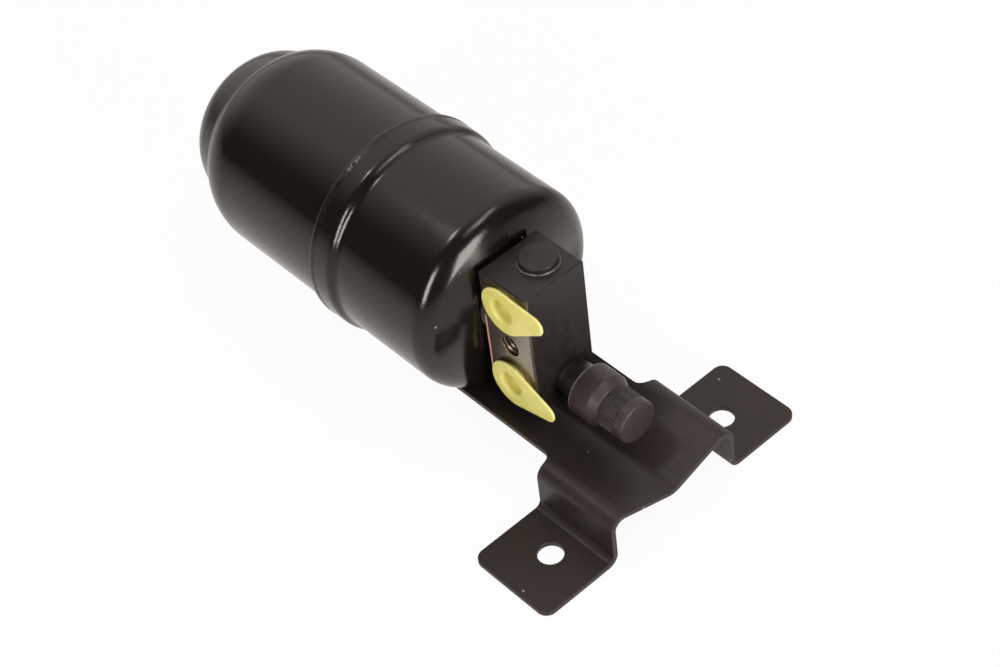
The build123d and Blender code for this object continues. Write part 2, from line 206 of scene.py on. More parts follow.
# Studio: each panel's name, azimuth, elevation, width, height and radiance. The sweep is a direction, and
# the room glows least and most where its edge starts and ends. The floor's glow fades over a distance from
# the part. What the part mirrors is slightly warm, and the backdrop itself is white.
PART_MIDDLE = -0.08
STUDIO_CENTRE = Vector((PART_MIDDLE, 0, 0.04))
PANEL_DISTANCE = 1.4
PANELS = (
    ("left panel", 13, 22, 0.34, 0.80, 9.5),
    ("front panel", 88, 14, 0.62, 0.80, 8.0),
    ("top panel", 97, 66, 0.48, 0.40, 1.7),
    ("high left panel", -56, 64, 0.26, 0.28, 7.0),
    ("high right panel", 130, 62, 0.65, 0.25, 3.0),
)
SWEEP = (-130, 35)
SWEEP_EDGE = (0.25, 0.85)
ROOM_GLOW = (0.055, 0.95)
FLOOR_REACH = 3.0
FLOOR_FADE = (0.08, 0.6)
FLOOR_GLOW = (0.94, 0.4)
WARM = (1.0, 0.955, 0.91)
WHITE = (1.0, 1.0, 1.0)
PAINT_TINT = (1.0, 0.93, 0.87, 1.0)

TURNS = 192


def add(tree, kind, inputs=None, **settings):
    """A new node. An input is a value, or the output that feeds it."""
    made = tree.nodes.new(kind)
    for name, value in settings.items():
        setattr(made, name, value)
    for name, value in (inputs or {}).items():
        if isinstance(value, bpy.types.NodeSocket):
            tree.links.new(value, made.inputs[name])
        else:
            made.inputs[name].default_value = value
    return made


def spaced(names):
    """Keywords as sockets' names: an underscore stands for a space."""
    return {name.replace("_", " "): value for name, value in names.items()}


def math_of(tree, operation, *values):
    """The output of a Math node."""
    return add(tree, "ShaderNodeMath", dict(enumerate(values)), operation=operation).outputs[0]


def times(tree, product, *others):
    """The product of two or more values."""
    for value in others:
        product = math_of(tree, "MULTIPLY", product, value)
    return product


def plus(tree, total, *others):
    """The sum of two or more values."""
    for value in others:
        total = math_of(tree, "ADD", total, value)
    return total


def minus(tree, first, second):
    """The first value less the second."""
    return math_of(tree, "SUBTRACT", first, second)


def vector_of(tree, operation, *values):
    """The output of a Vector Math node: a vector, or the number that the operation gives."""
    made = add(tree, "ShaderNodeVectorMath", dict(enumerate(values)), operation=operation)
    return made.outputs["Value" if operation in ("DISTANCE", "DOT_PRODUCT") else "Vector"]


def remap(tree, value, low, high, start=0.0, end=1.0, smooth=True):
    """The output of a Map Range node that takes low to start and high to end."""
    kind = "SMOOTHSTEP" if smooth else "LINEAR"
    sizes = {"Value": value, "From Min": low, "From Max": high, "To Min": start, "To Max": end}
    return add(tree, "ShaderNodeMapRange", sizes, interpolation_type=kind).outputs["Result"]


def between(tree, value, low, high, soft):
    """1 between two limits and 0 outside them, with a soft step inside each."""
    return times(tree, remap(tree, value, low, low + soft), remap(tree, value, high, high - soft))


def noise(tree, place, scale, detail, roughness=0.5):
    """The output of a Noise Texture node."""
    sizes = {"Vector": place, "Scale": scale, "Detail": detail, "Roughness": roughness}
    return add(tree, "ShaderNodeTexNoise", sizes).outputs["Fac"]


def axes_of(tree, vector):
    """The outputs X, Y and Z of a vector."""
    return add(tree, "ShaderNodeSeparateXYZ", {"Vector": vector}).outputs


def from_axis(tree, place, y, z):
    """The distance from a line along X."""
    axes = axes_of(tree, place)
    flat = add(tree, "ShaderNodeCombineXYZ", {"Y": axes["Y"], "Z": axes["Z"]}).outputs["Vector"]
    return vector_of(tree, "DISTANCE", flat, (0.0, y, z))


def blend(tree, factor, first, second):
    """A number between the first, at 0, and the second, at 1."""
    return add(tree, "ShaderNodeMix", {0: factor, 2: first, 3: second}, data_type="FLOAT").outputs[0]


def blend_colours(tree, factor, first, second):
    """A colour between the first, at 0, and the second, at 1. Each is three numbers or an output."""
    pair = [tone if isinstance(tone, bpy.types.NodeSocket) else (*tone, 1.0) for tone in (first, second)]
    return add(tree, "ShaderNodeMix", {0: factor, 6: pair[0], 7: pair[1]}, data_type="RGBA").outputs[2]


def effect(name, inputs, outputs):
    """An empty shader group: it returns the group, what its inputs give, and where its outputs go."""
    group = bpy.data.node_groups.new(name, "ShaderNodeTree")
    group.interface.new_socket("Vector", in_out="INPUT", socket_type="NodeSocketVector")
    for label, value in inputs.items():
        kind = "NodeSocketVector" if isinstance(value, tuple) else "NodeSocketFloat"
        group.interface.new_socket(label, in_out="INPUT", socket_type=kind).default_value = value
    for label in outputs:
        group.interface.new_socket(label, in_out="OUTPUT", socket_type="NodeSocketFloat")
    return group, add(group, "NodeGroupInput").outputs, add(group, "NodeGroupOutput").inputs


def paint_skin():
    """Orange peel: fine cells over slow waves."""
    sizes = {"Cells per metre": 900.0, "Waves": 0.5}
    group, given, result = effect("Paint skin", sizes, ["Height", "Gloss"])
    cells = noise(group, given["Vector"], given["Cells per metre"], 2.0, 0.45)
    waves = noise(group, given["Vector"], times(group, given["Cells per metre"], 0.16), 1.0)
    swell = times(group, waves, given["Waves"])
    group.links.new(plus(group, cells, swell), result["Height"])
    group.links.new(remap(group, waves, 0.35, 0.65), result["Gloss"])
    return group


def dust_specks():
    """Scattered small specks, each a soft dot."""
    sizes = {"Cells per metre": 250.0, "Share": 0.1, "Size": 0.1}
    group, given, result = effect("Dust specks", sizes, ["Mask"])
    cells = add(group, "ShaderNodeTexVoronoi", {
        "Vector": given["Vector"], "Scale": given["Cells per metre"],
    })
    chance = add(group, "ShaderNodeSeparateColor", {"Color": cells.outputs["Color"]}).outputs
    chosen = math_of(group, "LESS_THAN", chance["Red"], given["Share"])
    size = times(group, given["Size"], chance["Green"])
    soft = remap(group, minus(group, size, cells.outputs["Distance"]), 0.0, 0.03)
    group.links.new(times(group, soft, chosen), result["Mask"])
    return group


def edge_wear():
    """Where an edge turns sharply, broken up by a fine pattern."""
    sizes = {"Width": 0.0004, "Breaks per metre": 700.0, "Wear": 0.5}
    group, given, result = effect("Edge wear", sizes, ["Mask"])
    turned = add(group, "ShaderNodeBevel", {"Radius": given["Width"]}, samples=4).outputs["Normal"]
    facing = add(group, "ShaderNodeNewGeometry").outputs["Normal"]
    edge = remap(group, vector_of(group, "DOT_PRODUCT", turned, facing), 0.985, 0.9)
    breaks = noise(group, given["Vector"], given["Breaks per metre"], 3.0)
    kept = remap(group, plus(group, breaks, given["Wear"]), 0.85, 1.15)
    group.links.new(times(group, edge, kept), result["Mask"])
    return group


def tool_marks():
    """Fine lines left by a cutter or a roll, drawn out along one direction."""
    sizes = {"Stretch": (1.0, 1.0, 1.0), "Lines per metre": 4000.0}
    group, given, result = effect("Tool marks", sizes, ["Height", "Streak"])
    drawn = vector_of(group, "MULTIPLY", given["Vector"], given["Stretch"])
    lines = noise(group, drawn, given["Lines per metre"], 4.0, 0.6)
    group.links.new(lines, result["Height"])
    group.links.new(remap(group, lines, 0.35, 0.7), result["Streak"])
    return group


def tone_drift():
    """Slow drift of tone over a surface, from 0 to 1."""
    group, given, result = effect("Tone drift", {"Patches per metre": 30.0}, ["Tone"])
    patches = noise(group, given["Vector"], given["Patches per metre"], 3.0)
    group.links.new(remap(group, patches, 0.3, 0.7), result["Tone"])
    return group


PAINT_SKIN = paint_skin()
DUST_SPECKS = dust_specks()
EDGE_WEAR = edge_wear()
TOOL_MARKS = tool_marks()
TONE_DRIFT = tone_drift()


def use(tree, group, place, **inputs):
    """The outputs of a shared effect, placed in this material."""
    return add(tree, "ShaderNodeGroup", {"Vector": place, **spaced(inputs)}, node_tree=group).outputs


def finish(name, **constants):
    """A material with a plain shader: the material, its tree, its shader and its Object coordinates."""
    made = bpy.data.materials.new(name)
    made.use_nodes = True
    tree = made.node_tree
    shader = tree.nodes["Principled BSDF"]
    for label, value in spaced(constants).items():
        shader.inputs[label].default_value = value
    return made, tree, shader, add(tree, "ShaderNodeTexCoord").outputs["Object"]


def feed(tree, shader, **outputs):
    """Links outputs to the shader's inputs."""
    for label, value in spaced(outputs).items():
        tree.links.new(value, shader.inputs[label])


def bump(tree, shader, height, depth):
    """Feeds a height to the shader's normal: depth is in metres."""
    made = add(tree, "ShaderNodeBump", {"Height": height, "Distance": depth})
    feed(tree, shader, Normal=made.outputs["Normal"])


def end_dome(tree, place):
    """Height in metres of the slight doming of the canister's front end, and nothing on its round wall."""
    out = from_axis(tree, place, 0.0, AXIS_HEIGHT)
    reach = SHELL_RADIUS - FRONT_CORNER
    inner = math_of(tree, "DIVIDE", math_of(tree, "MINIMUM", out, reach), reach)
    bowl = times(tree, math_of(tree, "POWER", inner, DOME_POWER), reach / DOME_POWER)
    outer = math_of(tree, "MAXIMUM", minus(tree, out, reach), 0.0)
    outer = math_of(tree, "MINIMUM", outer, FRONT_CORNER)
    bend = times(tree, outer, outer, 0.5 / FRONT_CORNER)
    fall = plus(tree, bowl, minus(tree, outer, bend))
    top = reach / DOME_POWER + FRONT_CORNER / 2
    rise = times(tree, minus(tree, top, fall), DOME_SLOPE)
    near = math_of(tree, "GREATER_THAN", axes_of(tree, place)["X"], CANISTER_FRONT - 2 * FRONT_CORNER)
    return times(tree, rise, near)


def enamel(name, colour, roughness, cells, peel, dust_share, worn, patches, shine=0.5, domed=False):
    """Baked black enamel: orange peel, drift of tone, a little dust and thin edges."""
    made, tree, shader, place = finish(name, Specular_IOR_Level=shine, Specular_Tint=PAINT_TINT)
    skin = use(tree, PAINT_SKIN, place, Cells_per_metre=cells, Waves=0.6)
    tone = use(tree, TONE_DRIFT, place, Patches_per_metre=patches)["Tone"]
    dust = use(tree, DUST_SPECKS, place, Cells_per_metre=230.0, Share=dust_share, Size=0.13)["Mask"]
    wear = use(tree, EDGE_WEAR, place, Width=0.0005, Wear=worn)["Mask"]
    body = blend_colours(tree, tone, colour, tuple(1.2 * part for part in colour))
    edged = blend_colours(tree, times(tree, wear, 0.6), body, (0.13, 0.12, 0.11))
    gloss = remap(tree, skin["Gloss"], 0.0, 1.0, roughness * 0.95, roughness * 1.08, smooth=False)
    feed(
        tree, shader, Base_Color=blend_colours(tree, dust, edged, (0.28, 0.27, 0.26)),
        Roughness=plus(tree, gloss, times(tree, dust, 0.3)),
    )
    relief = plus(tree, skin["Height"], dust)
    if domed:
        relief = plus(tree, relief, math_of(tree, "DIVIDE", end_dome(tree, place), peel))
    bump(tree, shader, relief, peel)
    return made


def canister_enamel():
    """Glossy black enamel of the canister, slightly warm."""
    return enamel(
        "canister enamel", (0.0062, 0.0048, 0.0039), roughness=0.16, cells=1500.0, peel=0.000030,
        dust_share=0.045, worn=0.0, patches=14.0, domed=True,
    )


def bracket_enamel():
    """Satin black enamel of the pressed bracket, slightly brown."""
    return enamel(
        "bracket enamel", (0.0190, 0.0130, 0.0120), roughness=0.43, cells=1700.0, peel=0.000008,
        dust_share=0.13, worn=0.05, patches=30.0, shine=0.4,
    )


def weld_enamel():
    """The canister's enamel over rough weld metal, with pits."""
    made, tree, shader, place = finish("enamel over weld", Specular_Tint=PAINT_TINT)
    skin = use(tree, PAINT_SKIN, place, Cells_per_metre=1500.0, Waves=1.2)
    spatter = use(tree, DUST_SPECKS, place, Cells_per_metre=420.0, Share=0.25, Size=0.5)["Mask"]
    tone = use(tree, TONE_DRIFT, place, Patches_per_metre=90.0)["Tone"]
    feed(
        tree, shader,
        Base_Color=blend_colours(tree, tone, (0.0065, 0.0050, 0.0041), (0.0095, 0.0075, 0.0063)),
        Roughness=remap(tree, tone, 0.0, 1.0, 0.20, 0.30),
    )
    bump(tree, shader, minus(tree, skin["Height"], spatter), 0.000015)
    return made


def bare_steel(tree, axes):
    """1 on the block's port face and in its bores, 0 on its coating."""
    face = remap(tree, axes["Y"], PORT_FACE + 1.15 * MM, PORT_FACE + 0.85 * MM)
    below_top = remap(tree, axes["Z"], block_high.z - 0.45 * MM, block_high.z - 0.8 * MM)
    bare = times(tree, face, below_top)
    flat = add(tree, "ShaderNodeCombineXYZ", {"X": axes["X"], "Z": axes["Z"]}).outputs["Vector"]
    within = math_of(tree, "LESS_THAN", axes["Y"], block_high.y - 0.5 * MM)
    for height in (LOWER_PORT_HEIGHT, THREAD_HEIGHT, UPPER_PORT_HEIGHT):
        away = vector_of(tree, "DISTANCE", flat, (HOLE_LINE, 0.0, height))
        bore = math_of(tree, "LESS_THAN", away, PORT_RADIUS + 0.2 * MM)
        bare = math_of(tree, "MAXIMUM", bare, times(tree, bore, within))
    return bare


def block_coating():
    """Satin black coating of the block, with a bare port face and a coppery line at its rear edge, part
    copper tint and part painted highlight.
    """
    made, tree, shader, place = finish("block coating", Specular_IOR_Level=0.45)
    axes = axes_of(tree, place)
    bare = bare_steel(tree, axes)
    skin = use(tree, PAINT_SKIN, place, Cells_per_metre=1400.0, Waves=0.4)
    marks = use(tree, TOOL_MARKS, place, Stretch=(1.0, 1.0, 0.05), Lines_per_metre=2600.0)
    tone = use(tree, TONE_DRIFT, place, Patches_per_metre=55.0)["Tone"]
    dust = use(tree, DUST_SPECKS, place, Cells_per_metre=260.0, Share=0.03, Size=0.16)["Mask"]
    wear = use(tree, EDGE_WEAR, place, Width=0.0004, Wear=0.2)["Mask"]
    coat = blend_colours(tree, tone, (0.0125, 0.0084, 0.0076), (0.0160, 0.0110, 0.0102))
    coat = blend_colours(tree, wear, coat, (0.11, 0.10, 0.095))
    coat = blend_colours(tree, dust, coat, (0.30, 0.29, 0.28))
    steel = blend_colours(tree, marks["Streak"], (0.285, 0.245, 0.195), (0.33, 0.29, 0.24))
    # Painted highlight: a bright coppery line along the block's rear edge, part copper tint and part
    # painted light.
    rear_edge_copper_highlight = times(
        tree, remap(tree, axes["X"], BLOCK_REAR + 0.95 * MM, BLOCK_REAR + 0.75 * MM),
        between(tree, axes["Z"], block_low.z + 6 * MM, block_low.z + 36 * MM, 4 * MM),
    )
    steel = blend_colours(tree, rear_edge_copper_highlight, steel, (0.93, 0.42, 0.29))
    shine = minus(tree, 1.0, times(tree, rear_edge_copper_highlight, 0.75))
    coat_gloss = remap(tree, skin["Gloss"], 0.0, 1.0, 0.37, 0.45)
    steel_gloss = remap(tree, marks["Streak"], 0.0, 1.0, 0.29, 0.34)
    feed(
        tree, shader, Base_Color=blend_colours(tree, bare, coat, steel),
        Metallic=times(tree, bare, shine), Roughness=blend(tree, bare, coat_gloss, steel_gloss),
    )
    bump(tree, shader, blend(tree, bare, skin["Height"], marks["Height"]), 0.000005)
    return made


def metal(name, colour, pale, roughness, stretch):
    """Bare metal with fine marks drawn out along one direction."""
    made, tree, shader, place = finish(name, Metallic=1.0)
    marks = use(tree, TOOL_MARKS, place, Stretch=stretch, Lines_per_metre=3000.0)
    feed(
        tree, shader, Base_Color=blend_colours(tree, marks["Streak"], colour, pale),
        Roughness=remap(tree, marks["Streak"], 0.0, 1.0, roughness * 0.85, roughness * 1.25),
    )
    bump(tree, shader, marks["Height"], 0.000006)
    return made


def turned_black():
    """Blackened turned steel of the service port."""
    made, tree, shader, place = finish("blackened turned steel")
    marks = use(tree, TOOL_MARKS, place, Stretch=(1.0, 0.02, 0.02), Lines_per_metre=5000.0)
    wear = use(tree, EDGE_WEAR, place, Width=0.0004, Wear=0.5)["Mask"]
    body = blend_colours(tree, marks["Streak"], (0.0125, 0.0085, 0.0075), (0.0150, 0.0105, 0.0092))
    feed(
        tree, shader, Base_Color=blend_colours(tree, wear, body, (0.16, 0.14, 0.12)),
        Roughness=remap(tree, marks["Streak"], 0.0, 1.0, 0.33, 0.38),
    )
    bump(tree, shader, marks["Height"], 0.000002)
    return made


def cap_moulding():
    """Dark mauve-grey satin plastic, with scuffed edges, a painted highlight along its rim and painted
    shade between the grip's ribs.
    """
    made, tree, shader, place = finish("cap moulding")
    skin = use(tree, PAINT_SKIN, place, Cells_per_metre=3500.0, Waves=0.8)
    tone = use(tree, TONE_DRIFT, place, Patches_per_metre=140.0)["Tone"]
    wear = use(tree, EDGE_WEAR, place, Width=0.0004, Wear=0.5)["Mask"]
    body = blend_colours(tree, tone, (0.032, 0.0200, 0.0205), (0.039, 0.0255, 0.026))
    body = blend_colours(tree, times(tree, wear, 0.4), body, (0.115, 0.10, 0.10))
    along = axes_of(tree, place)["X"]
    # Painted highlight: a pale band at the cap's rim stands in for the rim's bright line.
    rim = block_high.x + CAP_RIM
    pale = remap(tree, along, rim + 0.5 * MM, rim + 0.3 * MM)
    body = blend_colours(tree, pale, body, (0.30, 0.255, 0.25))
    start = block_high.x + KNURL_START
    ribbed = between(tree, along, start + 0.2 * MM, start + KNURL_LENGTH - 0.2 * MM, 0.4 * MM)
    out = from_axis(tree, place, GALLERY_OFFSET, VALVE_PLACE.translation.z)
    groove = remap(tree, out, KNURL_RADIUS - 0.05 * MM, KNURL_RADIUS - KNURL_DEPTH)
    # Painted shade: the grooves between the grip's ribs are darkened.
    groove_shade = times(tree, groove, ribbed, 0.75)
    feed(
        tree, shader, Base_Color=blend_colours(tree, groove_shade, body, (0.008, 0.006, 0.006)),
        Roughness=remap(tree, skin["Gloss"], 0.0, 1.0, 0.38, 0.48),
    )
    bump(tree, shader, skin["Height"], 0.000008)
    return made


def plug_moulding():
    """Soft yellow moulding, waxy and a little translucent, with its edges painted paler as a painted glow
    of light through the thin rim.
    """
    made, tree, shader, place = finish(
        "dust plug moulding", Subsurface_Weight=0.12, Subsurface_Scale=0.0012,
        Subsurface_Radius=(1.0, 0.9, 0.3),
    )
    skin = use(tree, PAINT_SKIN, place, Cells_per_metre=2200.0, Waves=0.9)
    tone = use(tree, TONE_DRIFT, place, Patches_per_metre=160.0)["Tone"]
    # Painted light: the edges are painted paler, standing in for light showing through the thin rim.
    rim = use(tree, EDGE_WEAR, place, Width=0.0008, Wear=0.9)["Mask"]
    body = blend_colours(tree, tone, (0.70, 0.625, 0.145), (0.76, 0.69, 0.20))
    feed(
        tree, shader, Base_Color=blend_colours(tree, rim, body, (0.86, 0.82, 0.42)),
        Roughness=remap(tree, skin["Gloss"], 0.0, 1.0, 0.40, 0.50),
    )
    bump(tree, shader, skin["Height"], 0.000012)
    return made


def rubber():
    """Matt black rubber with a fine grain."""
    made, tree, shader, place = finish("seal rubber", Base_Color=(0.009, 0.008, 0.008, 1.0))
    skin = use(tree, PAINT_SKIN, place, Cells_per_metre=5000.0, Waves=0.3)
    feed(tree, shader, Roughness=remap(tree, skin["Gloss"], 0.0, 1.0, 0.52, 0.66))
    bump(tree, shader, skin["Height"], 0.00001)
    return made


def strainer_moulding():
    """White moulded strainer with a fine mesh pressed in its surface."""
    made, tree, shader, place = finish("strainer moulding", Roughness=0.5)
    mesh = add(tree, "ShaderNodeTexVoronoi", {"Vector": place, "Scale": 1600.0}).outputs["Distance"]
    threads = remap(tree, mesh, 0.15, 0.5)
    feed(tree, shader, Base_Color=blend_colours(tree, threads, (0.62, 0.61, 0.57), (0.83, 0.82, 0.78)))
    bump(tree, shader, mesh, 0.00008)
    return made


def filter_felt():
    """Dense felt: short crossed fibres over a soft mottle."""
    made, tree, shader, place = finish("filter felt", Roughness=0.95, Sheen_Weight=0.3)
    along = use(tree, TOOL_MARKS, place, Stretch=(1.0, 0.1, 1.0), Lines_per_metre=4000.0)
    across = use(tree, TOOL_MARKS, place, Stretch=(1.0, 1.0, 0.1), Lines_per_metre=3600.0)
    fibres = math_of(tree, "MAXIMUM", along["Height"], across["Height"])
    mottle = remap(tree, fibres, 0.4, 0.75)
    feed(tree, shader, Base_Color=blend_colours(tree, mottle, (0.62, 0.59, 0.50), (0.84, 0.81, 0.73)))
    bump(tree, shader, fibres, 0.00025)
    return made


def desiccant_beads():
    """A packed bed of tan beads about two millimetres across, with painted shade in the gaps between them.
    """
    made, tree, shader, place = finish("desiccant beads", Roughness=0.7)
    beads = add(tree, "ShaderNodeTexVoronoi", {"Vector": place, "Scale": 480.0}).outputs
    tint = add(tree, "ShaderNodeSeparateColor", {"Color": beads["Color"]}).outputs["Red"]
    shade = blend_colours(tree, tint, (0.60, 0.47, 0.32), (0.78, 0.68, 0.52))
    # Painted shade: the gaps between the beads are darkened.
    gap_shade = remap(tree, beads["Distance"], 0.45, 0.75)
    feed(tree, shader, Base_Color=blend_colours(tree, gap_shade, shade, (0.16, 0.12, 0.08)))
    bump(tree, shader, minus(tree, 1.0, beads["Distance"]), 0.0009)
    return made


FINISHES = {
    "canister_paint": canister_enamel(),
    "weld_paint": weld_enamel(),
    "bracket_paint": bracket_enamel(),
    "block_coat": block_coating(),
    "braze": metal("dull braze", (0.13, 0.11, 0.10), (0.24, 0.21, 0.19), 0.48, (1.0, 1.0, 1.0)),
    "valve_steel": turned_black(),
    "core_brass": metal("turned brass", (0.62, 0.48, 0.22), (0.76, 0.62, 0.33), 0.25, (1.0, 0.03, 0.03)),
    "spring_steel": metal(
        "drawn spring wire", (0.42, 0.42, 0.44), (0.58, 0.58, 0.60), 0.3, (1.0, 1.0, 1.0)
    ),
    "seal_rubber": rubber(),
    "cap_plastic": cap_moulding(),
    "plug_plastic": plug_moulding(),
    "tube_aluminium": metal(
        "drawn aluminium", (0.68, 0.68, 0.69), (0.82, 0.82, 0.83), 0.32, (0.03, 1.0, 1.0)
    ),
    "strainer_plastic": strainer_moulding(),
    "plate_steel": metal(
        "rolled steel sheet", (0.46, 0.46, 0.47), (0.60, 0.60, 0.61), 0.35, (1.0, 1.0, 0.05)
    ),
    "felt": filter_felt(),
    "desiccant": desiccant_beads(),
}
THREAD_STEEL = metal("cut thread", (0.12, 0.085, 0.055), (0.21, 0.16, 0.11), 0.40, (0.05, 1.0, 0.05))


def rounded(corners, steps=12):
    """A line through corners of (x, y, radius), with an arc at each corner that has a radius."""
    line = []
    for index, (x, y, radius) in enumerate(corners):
        here = Vector((x, y))
        if radius <= 0:
            line.append(here)
            continue
        back = (Vector(corners[index - 1][:2]) - here).normalized()
        ahead = (Vector(corners[(index + 1) % len(corners)][:2]) - here).normalized()
        half = back.angle(ahead) / 2
        centre = here + (back + ahead).normalized() * radius / sin(half)
        spoke = here + back * radius / tan(half) - centre
        sense = 1 if spoke.y * back.x > spoke.x * back.y else -1
        for step in range(steps + 1):
            line.append(centre + Matrix.Rotation(sense * (pi - 2 * half) * step / steps, 2) @ spoke)
    return line


def walled(corners, wall, steps=12):
    """A wall's closed outline: its outer line runs through corners, and its inner side is on the left."""
    inner = []
    for index, (x, y, radius) in enumerate(corners):
        here = Vector((x, y))
        runs = []
        if index:
            runs.append((here - Vector(corners[index - 1][:2])).normalized())
        if index < len(corners) - 1:
            runs.append((Vector(corners[index + 1][:2]) - here).normalized())
        normals = [Vector((-run.y, run.x)) for run in runs]
        shift = normals[0] * wall
        if len(runs) == 2:
            shift = (normals[0] + normals[1]) * wall / (1 + normals[0].dot(normals[1]))
            left_turn = runs[0].x * runs[1].y > runs[0].y * runs[1].x
            radius = 0 if radius == 0 else max(radius - wall if left_turn else radius + wall, 0)
        inner.append((here.x + shift.x, here.y + shift.y, radius))
    return rounded(corners, steps) + rounded(inner, steps)[::-1]


def as_mesh(name, work):
    """A mesh of a bmesh, which is freed."""
    mesh = bpy.data.meshes.new(name)
    work.to_mesh(mesh)
    work.free()
    return mesh


def as_bmesh(mesh):
    """A bmesh of a mesh."""
    work = bmesh.new()
    work.from_mesh(mesh)
    return work


def placed(name, data):
    """A new object in the scene."""
    made = bpy.data.objects.new(name, data)
    bpy.context.scene.collection.objects.link(made)
    return made


def settled(made):
    """The mesh that an object's modifiers make. The modifiers come off."""
    seen = made.evaluated_get(bpy.context.evaluated_depsgraph_get())
    mesh = bpy.data.meshes.new_from_object(seen)
    made.modifiers.clear()
    return mesh


def cleaned(work, place):
    """The bmesh with its points merged and its faces turned outward, put in place."""
    bmesh.ops.remove_doubles(work, verts=work.verts, dist=1e-7)
    bmesh.ops.recalc_face_normals(work, faces=work.faces)
    work.transform(place)
    return work


def piece(name, work, slot, body="housing", sharp=32.0, look=None, even=False):
    """An object from a bmesh, smooth except at its sharp edges, on that body, in its slot's finish.

    An even piece keeps its flats flat beside its rounded edges.
    """
    mesh = as_mesh(name, work)
    mesh.polygons.foreach_set("use_smooth", [True] * len(mesh.polygons))
    mesh.set_sharp_from_angle(angle=radians(sharp))
    mesh.materials.append(look or FINISHES[slot])
    made = placed(name, mesh)
    if even:
        weights = made.modifiers.new("Flats", "WEIGHTED_NORMAL")
        weights.keep_sharp = True
        weights.weight = 100
        made.data = settled(made)
    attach(made, body)
    return made


def lathe(outline, place, turns=TURNS):
    """A bmesh turned about the X axis from a closed outline of (x, radius) points, then put in place."""
    work = bmesh.new()
    rings = []
    for turn in range(turns):
        angle = 2 * pi * turn / turns
        rings.append([work.verts.new((p[0], p[1] * cos(angle), p[1] * sin(angle))) for p in outline])
    count = len(outline)
    for turn, ring in enumerate(rings):
        following = rings[(turn + 1) % turns]
        for index in range(count):
            after = (index + 1) % count
            if outline[index][1] == 0 and outline[after][1] == 0:
                continue
            work.faces.new((ring[index], ring[after], following[after], following[index]))
    return cleaned(work, place)


def shells():
    """The two deep-drawn halves, with their wall."""
    on_axis = Matrix.Translation((0, 0, AXIS_HEIGHT))
    band = CANISTER_FRONT - BAND_START
    front = walled([
        (CANISTER_FRONT, SPIGOT_HOLE, 0), (CANISTER_FRONT, SHELL_RADIUS, FRONT_CORNER),
        (band, SHELL_RADIUS, BAND_BEND), (band - BAND_RUN, BAND_RADIUS, BAND_BEND), (LIP, BAND_RADIUS, 0),
    ], SHELL_WALL)
    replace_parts(piece("canister_front", lathe(front, on_axis), "canister_paint"), "front_shell")

    tangent = SHOULDER_RADIUS * tan(SHOULDER_ANGLE / 2)
    corner = CANISTER_FRONT - SHOULDER_START - tangent
    leg = tangent + SHOULDER_FLAT
    hat_radius = SHELL_RADIUS - leg * sin(SHOULDER_ANGLE)
    crease = corner - leg * cos(SHOULDER_ANGLE)
    tail = hat_radius - (crease - CANISTER_END) * tan(HAT_TAPER)
    rear = walled([
        (MOUTH, SHELL_RADIUS, 0), (corner, SHELL_RADIUS, SHOULDER_RADIUS),
        (crease, hat_radius, CREASE_RADIUS), (CANISTER_END, tail, HAT_CORNER), (CANISTER_END, 0, 0),
    ], SHELL_WALL, steps=20)
    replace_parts(piece("canister_rear", lathe(rear, on_axis), "canister_paint"), "rear_shell")


def empty_tree(name, sizes):
    """A geometry tree with a Finish input and one for each size: the tree, its inputs and its output."""
    tree = bpy.data.node_groups.new(name, "GeometryNodeTree")
    tree.interface.new_socket("Geometry", in_out="INPUT", socket_type="NodeSocketGeometry")
    tree.interface.new_socket("Finish", in_out="INPUT", socket_type="NodeSocketMaterial")
    for label, value in sizes.items():
        kind = {int: "NodeSocketInt", float: "NodeSocketFloat", tuple: "NodeSocketVector"}[type(value)]
        tree.interface.new_socket(label, in_out="INPUT", socket_type=kind).default_value = value
    tree.interface.new_socket("Geometry", in_out="OUTPUT", socket_type="NodeSocketGeometry")
    return tree, add(tree, "NodeGroupInput").outputs, add(tree, "NodeGroupOutput").inputs


def close_tree(tree, given, result, geometry):
    """Ends a geometry tree: real geometry, smooth, in its finish."""
    real = add(tree, "GeometryNodeRealizeInstances", {"Geometry": geometry}).outputs["Geometry"]
    smooth = add(tree, "GeometryNodeSetShadeSmooth", {"Geometry": real}).outputs["Geometry"]
    painted = add(tree, "GeometryNodeSetMaterial", {"Geometry": smooth, "Material": given["Finish"]})
    tree.links.new(painted.outputs["Geometry"], result["Geometry"])


def seam_tree():
    """A weld bead along the object's own line: ripples, a wandering width and one swollen spot."""
    tree, given, result = empty_tree("Weld seam", {
        "Points": 200, "Radius": 0.002, "Ripples": 60.0, "Ripple depth": 0.06, "Wander": 0.1,
        "Swell place": (0.0, 0.0, 0.0), "Swell reach": 0.007, "Swell": 0.0, "Sides": 16,
    })
    line = add(tree, "GeometryNodeMeshToCurve", {"Mesh": given["Geometry"]}).outputs["Curve"]
    line = add(tree, "GeometryNodeResampleCurve", {"Curve": line, "Count": given["Points"]})
    share = add(tree, "GeometryNodeSplineParameter").outputs["Factor"]
    here = add(tree, "GeometryNodeInputPosition").outputs["Position"]
    phase = math_of(tree, "FRACT", times(tree, share, given["Ripples"]))
    scale = times(tree, math_of(tree, "POWER", phase, 1.6), given["Ripple depth"])
    drift = times(tree, minus(tree, noise(tree, here, 170.0, 3.0), 0.5), given["Wander"])
    rough = plus(tree, scale, drift, 1.0)
    near = remap(tree, vector_of(tree, "DISTANCE", here, given["Swell place"]), given["Swell reach"], 0.0)
    swell = times(tree, near, given["Swell"])
    radius = plus(tree, times(tree, given["Radius"], rough), swell)
    profile = add(tree, "GeometryNodeCurvePrimitiveCircle", {"Resolution": given["Sides"], "Radius": 1.0})
    bead = add(tree, "GeometryNodeCurveToMesh", {
        "Curve": line.outputs["Curve"], "Profile Curve": profile.outputs["Curve"], "Scale": radius,
        "Fill Caps": True,
    })
    close_tree(tree, given, result, bead.outputs["Mesh"])
    return tree


